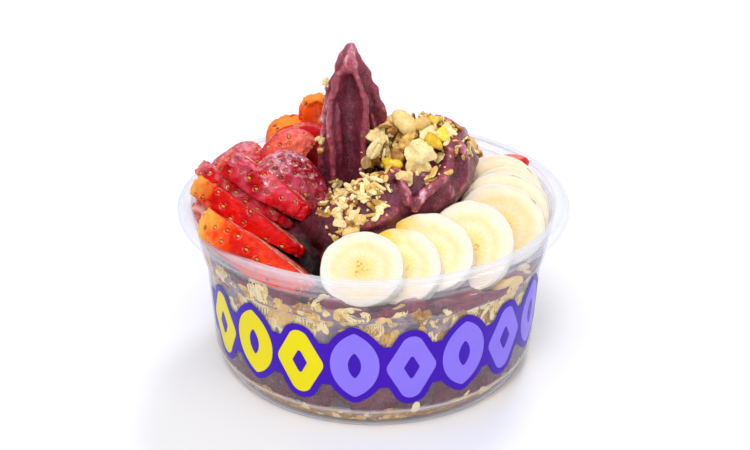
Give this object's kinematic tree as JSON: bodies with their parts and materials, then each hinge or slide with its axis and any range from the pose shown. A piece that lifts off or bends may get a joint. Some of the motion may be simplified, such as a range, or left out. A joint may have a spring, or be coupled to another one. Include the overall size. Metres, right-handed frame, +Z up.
{
  "type": "acai bowl",
  "caption": "Clear round deli bowl filled in layers with acai and granola, topped with a piped acai swirl, fanned banana slices, cut strawberries and granola clusters.",
  "frame": {"origin": "centre of the bowl's base on the surface it stands on", "axes": "+Z up along the bowl's axis, -Y to the front with the banana fan at the right, +X to the right"},
  "size_m": [0.1552, 0.1552, 0.1306],
  "materials": {
    "clear_plastic": "thin clear deli-bowl plastic with a printed violet, yellow and lilac band",
    "acai": "frozen acai puree, dark purple-maroon, slightly frosty",
    "granola": "toasted rolled oats and nuts",
    "banana": "moist cut banana",
    "strawberry": "glossy strawberry skin with small yellow seeds and paler cut flesh"
  },
  "bodies": {
    "root": {"bowl": "clear_plastic", "granola_base": "granola", "acai_lower": "acai", "granola_middle": "granola", "acai_swirl": "acai", "granola_heap_upper": "granola", "granola_heap_front": "granola", "granola_heap_back": "granola", "banana_01": "banana", "banana_02": "banana", "banana_03": "banana", "banana_04": "banana", "banana_05": "banana", "banana_06": "banana", "banana_07": "banana", "banana_08": "banana", "strawberry_slice_01": "strawberry", "strawberry_slice_02": "strawberry", "strawberry_slice_03": "strawberry", "strawberry_slice_04": "strawberry", "strawberry_slice_05": "strawberry", "strawberry_slice_06": "strawberry", "strawberry_slice_07": "strawberry", "strawberry_slice_08": "strawberry", "strawberry_slice_09": "strawberry", "strawberry_slice_10": "strawberry", "strawberry_slice_11": "strawberry", "strawberry_cap_01": "strawberry", "strawberry_cap_02": "strawberry", "strawberry_cap_03": "strawberry", "strawberry_cap_04": "strawberry", "strawberry_cap_05": "strawberry"}
  },
  "joints": []
}
